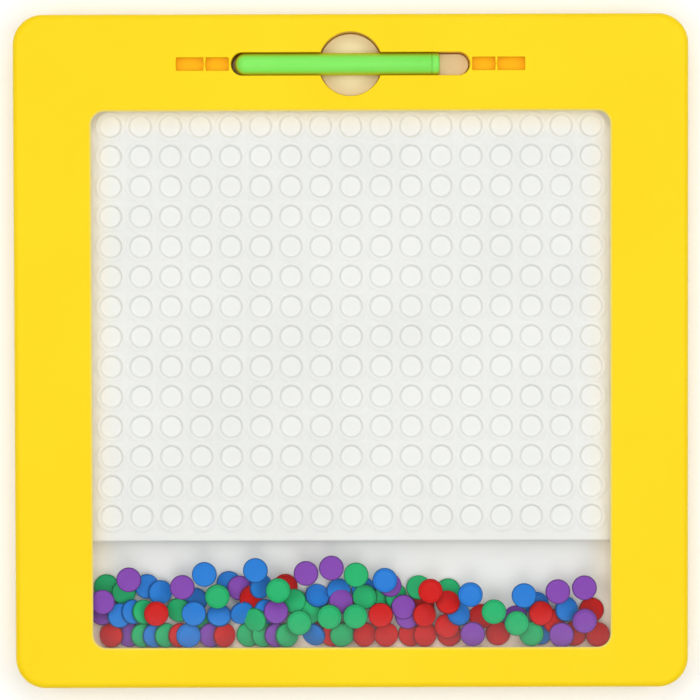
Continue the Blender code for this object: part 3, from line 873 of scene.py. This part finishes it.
class Trough:
    """Two height maps: what a new disc has to lie on, and how high it may reach."""

    def __init__(self):
        xs = np.arange(TRAY_LOW.x, TRAY_HIGH.x, PILE_GRID)
        ys = np.arange(TRAY_LOW.y, STEP_Y + 2 * DISC_RADIUS, PILE_GRID)
        self.x, self.y = np.meshgrid(xs, ys)
        self.floor = np.where(self.y < STEP_Y, TROUGH_FLOOR, CREST)
        self.ceiling = np.full(self.x.shape, PILE_CEILING)

    def footprint(self, x, y):
        dx, dy = self.x - x, self.y - y
        inside = np.hypot(dx, dy) < DISC_RADIUS
        return inside, dx[inside], dy[inside]

    def hang(self, centre, normal):
        """Keeps the pile clear of a disc that is already there, held by its own joint."""
        inside, dx, dy = self.footprint(centre[0], centre[1])
        underside = centre[2] - DISC_HALF - (normal[0] * dx + normal[1] * dy) / normal[2]
        self.ceiling[inside] = np.minimum(self.ceiling[inside], underside - 0.0002)

    def drop(self, x, y):
        """Lets a disc fall at a place: it comes to rest where its centre is lowest."""
        inside, dx, dy = self.footprint(x, y)
        ground = self.floor[inside]
        slope = np.zeros(2)
        step = 0.3
        best = ground.max()
        while step > 0.01:
            moved = False
            for angle in np.arange(0, math.tau, math.pi / 6):
                trial = slope + step * np.array((math.cos(angle), math.sin(angle)))
                if np.hypot(*trial) > STEEPEST:
                    continue
                height = (ground - trial[0] * dx - trial[1] * dy).max()
                if height < best - 0.000001:
                    best, slope, moved = height, trial, True
            if not moved:
                step /= 2
        stretch = math.sqrt(1 + slope @ slope)
        thick = 2 * DISC_HALF * stretch
        rise = slope[0] * dx + slope[1] * dy
        over = (best + thick + rise - self.ceiling[inside]).max()
        best -= max(over, 0.0)
        top = best + thick + rise
        covered = dx**2 + dy**2 + rise**2 < DISC_RADIUS**2
        self.floor[inside] = np.where(covered, np.maximum(ground, top + 0.00003), ground)
        normal = np.array((-slope[0], -slope[1], 1.0)) / stretch
        return (x, y, best + thick / 2), normal


def make_discs(materials):
    meshes = disc_meshes(materials)
    trough = Trough()
    for body, empty in frame["bodies"].items():
        nodes = [child.name for child in empty.children if child.name.startswith("disc_")]
        for node in nodes:
            colour = node.rsplit("_", 1)[1]
            centre, normal, flip = lie_of_node(node)
            trough.hang(centre, normal)
            name = f"{colour}_disc_{node.split('_')[1]}"
            add_disc(name, colour, centre, normal, flip, meshes, materials, body, (node,))
    for number, token in enumerate(" ".join(PILE).split(), 1):
        x, y = (float(value) / 1000 for value in token[1:].split("/"))
        centre, normal = trough.drop(x, y)
        colour = COLOUR_OF[token[0].upper()]
        name = f"pile_disc_{number:02d}_{colour}"
        add_disc(name, colour, centre, normal, token[0].islower(), meshes, materials, "housing")


# ---------------------------------------------------------------- screws, feet and rear cover


def circle(centre, radius, steps=40):
    return arc(centre[0], centre[1], radius, 0, 360 - 360 / steps, steps - 1)


def cross(centre, reach, half_width):
    """The outline of a cross recess."""
    quarter = [(half_width, -half_width), (reach, -half_width), (reach, half_width)]
    points = []
    for turn in range(4):
        for x, y in quarter:
            for _ in range(turn):
                x, y = -y, x
            points.append((centre[0] + x, centre[1] + y))
    return points


def make_screw(name, materials):
    """A flat-headed self-tapping screw, head down, with a cross recess and a ridged shank."""
    low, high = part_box(name)
    centre = ((low.x + high.x) / 2, (low.y + high.y) / 2)
    head = (high.x - low.x) / 2
    under = low.z + HEAD_HEIGHT
    crest = SHANK_RADIUS - head
    root = crest - THREAD_DEPTH
    steps = [(-0.0003, low.z), (0.0, low.z + 0.0003), (0.0, under - 0.0002), (-0.0002, under)]
    steps.append((crest, under + 0.0002))
    thread_start, thread_end = under + 0.001, high.z - POINT_LENGTH
    for z in np.linspace(thread_start, thread_end, THREAD_RIDGES, endpoint=False):
        steps += [(root, z), (crest, z + 0.0005)]
    steps += [(root, thread_end), (0.0002 - head, high.z)]
    skin = Skin()
    face, tip = skin.wall(lambda grow: circle(centre, head + grow), steps)
    mouth, pit = skin.wall(
        lambda grow: cross(centre, RECESS_REACH + grow, RECESS_HALF_WIDTH + grow / 2),
        [(0.0, low.z), (-0.0003, low.z + RECESS_DEPTH)],
    )
    skin.fill(face, mouth)
    skin.model.faces.new(pit)
    skin.model.faces.new(tip)
    number = name.rsplit("_", 1)[1]
    piece_name = f"screw_{number}"
    mesh = skin.mesh(piece_name)
    add_piece(piece_name, mesh, materials["steel"], replaced=(name,))


def make_foot(name, materials):
    """A round rubber foot with a soft edge and a shallow ring pressed into its sole."""
    low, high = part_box(name)
    centre = ((low.x + high.x) / 2, (low.y + high.y) / 2)
    radius = (high.x - low.x) / 2
    skin = Skin()
    ring, pressed = -0.45 * radius, low.z + 0.0003
    steps = [(ring, low.z), (ring + 0.0002, pressed)]
    steps += [(ring + 0.0010, pressed), (ring + 0.0012, low.z)]
    steps += rounded(-0.0005, 0.0, low.z, low.z + 0.0005, 5)
    steps += [(0.0, high.z - 0.0001), (-0.0001, high.z)]
    sole, top = skin.wall(lambda grow: circle(centre, radius + grow, 48), steps)
    skin.model.faces.new(sole)
    skin.model.faces.new(top)
    piece_name = name.replace("rubber_foot", "foot")
    mesh = skin.mesh(piece_name)
    add_piece(piece_name, mesh, materials["rubber"], replaced=(name,))


def make_rear_cover(screws, materials):
    """The plate behind the frame, with a sunk seat for each screw and the hollow pen shelf."""
    low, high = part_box("rear_cover")
    corner = BOARD_CORNER - FRAME_WALL
    top = low.z + REAR_THICKNESS

    def plate(grow):
        return rounded_rectangle(low.x, high.x, low.y, high.y, corner, corner, grow)

    skin = Skin()
    steps = rounded(-REAR_EDGE, 0.0, low.z, low.z + REAR_EDGE, 5)
    steps += [(0.0, top - 0.0002), (-0.0002, top)]
    below, above = skin.wall(plate, steps)
    openings, bosses = [], []
    for name in screws:
        screw_low, screw_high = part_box(name)
        centre = ((screw_low.x + screw_high.x) / 2, (screw_low.y + screw_high.y) / 2)
        seat_radius = (screw_high.x - screw_low.x) / 2 + SEAT_GAP
        mouth, seat = skin.wall(
            lambda grow: circle(centre, seat_radius + grow),
            [(0.0003, low.z), (0.0, low.z + 0.0003), (0.0, screw_low.z + SEAT_DEPTH)],
        )
        root, crown = skin.wall(
            lambda grow: circle(centre, BOSS_RADIUS + grow),
            [(0.0003, top), (0.0, top + 0.0003), (0.0, BOSS_TOP - 0.0002), (-0.0002, BOSS_TOP)],
        )
        skin.model.faces.new(seat)
        skin.model.faces.new(crown)
        openings.append(mouth)
        bosses.append(root)
    mouth, ceiling = skin.wall(
        lambda grow: bay_outline(grow - SHELF_GAP - SHELF_WALL),
        [(0.0003, low.z), (0.0, low.z + 0.0003), (0.0, high.z - SHELF_WALL)],
    )
    root, shelf = skin.wall(
        lambda grow: bay_outline(grow - SHELF_GAP),
        [(0.0, top), (0.0, high.z - 0.0003), (-0.0003, high.z)],
    )
    skin.fill(below, mouth, *openings)
    skin.fill(above, root, *bosses)
    skin.fill(ceiling)
    skin.fill(shelf)
    piece = add_piece(
        "back_plate",
        skin.mesh("back_plate"),
        materials["ivory"],
        replaced=("rear_cover",),
    )
    even_shading(piece)


def make_hardware(materials):
    """The rear cover, screws and feet, and a better material on the magnet inside the pen."""
    screws = sorted(name for name in frame["nodes"] if name.startswith("cover_screw_"))
    make_rear_cover(screws, materials)
    for name in screws:
        make_screw(name, materials)
    for name in sorted(frame["nodes"]):
        if name.startswith("rubber_foot_"):
            make_foot(name, materials)
    mesh = frame["nodes"]["pen_magnet"].data
    mesh.materials.clear()
    mesh.materials.append(materials["steel"])


# ---------------------------------------------------------------- studio


def make_floor():
    """A wide pale floor, a hair below the soles of the feet so that the two don't coincide."""
    mesh = bpy.data.meshes.new("floor")
    size = 6.0
    height = -0.0001
    corners = [(-size, -size), (size, -size), (size, size), (-size, size)]
    mesh.from_pydata([(x, y, height) for x, y in corners], [], [(0, 1, 2, 3)])
    floor = bpy.data.objects.new("floor", mesh)
    bpy.context.scene.collection.objects.link(floor)
    material, tree, shader = new_material("pale_floor", 0.9)
    shader.inputs["Base Color"].default_value = (0.96, 0.96, 0.96, 1.0)
    shader.inputs["Specular IOR Level"].default_value = 0.0
    shader.inputs["Emission Color"].default_value = (1.0, 1.0, 1.0, 1.0)
    shader.inputs["Emission Strength"].default_value = 0.08
    mesh.materials.append(material)


def add_softbox(name, place, size, power):
    light = bpy.data.lights.new(name, "AREA")
    light.shape = "RECTANGLE"
    light.size = size
    light.size_y = size
    light.energy = power
    softbox = bpy.data.objects.new(name, light)
    bpy.context.scene.collection.objects.link(softbox)
    softbox.location = place
    softbox.rotation_euler = (-Vector(place)).to_track_quat("-Z", "Y").to_euler()


def make_lights():
    """Five large soft lights, one on each side and one overhead, under a pale sky."""
    world = bpy.data.worlds.new("studio")
    bpy.context.scene.world = world
    world.use_nodes = True
    background = world.node_tree.nodes["Background"]
    background.inputs["Color"].default_value = (1.0, 1.0, 1.0, 1.0)
    background.inputs["Strength"].default_value = 0.25
    add_softbox("left_softbox", (-0.95, 0.05, 1.3), 0.9, 6.0)
    add_softbox("right_softbox", (0.95, 0.05, 1.3), 0.9, 6.2)
    add_softbox("far_softbox", (0.0, 0.95, 1.3), 0.9, 6.3)
    add_softbox("near_softbox", (0.05, -0.85, 1.4), 0.9, 4.3)
    add_softbox("top_softbox", (0.0, 0.0, 2.0), 1.2, 6.0)


def make_camera():
    """Above the board, as far off as a long lens stands and a touch towards the pen slot."""
    camera = bpy.data.cameras.new("camera")
    distance = 1.4
    seen_width = 0.2903
    lean = math.radians(1.8)
    camera.sensor_width = 36.0
    camera.lens = camera.sensor_width * distance / seen_width
    holder = bpy.data.objects.new("camera", camera)
    bpy.context.scene.collection.objects.link(holder)
    aim = Vector((-0.0005, 0.0008, FACE))
    turn = Matrix.Rotation(-lean, 4, "X") @ Matrix.Rotation(math.radians(-0.15), 4, "Z")
    holder.matrix_world = Matrix.Translation(aim) @ turn @ Matrix.Translation((0, 0, distance))
    bpy.context.scene.camera = holder


def main():
    """Builds every piece, then the floor, the lights and the camera."""
    bpy.context.scene.view_settings.view_transform = "Standard"
    materials = make_materials()
    make_front_frame(materials)
    make_groove_tabs(materials)
    make_window(materials)
    make_tray(materials)
    make_cell_field(materials)
    make_pen(materials)
    make_discs(materials)
    make_hardware(materials)
    make_floor()
    make_lights()
    make_camera()


main()
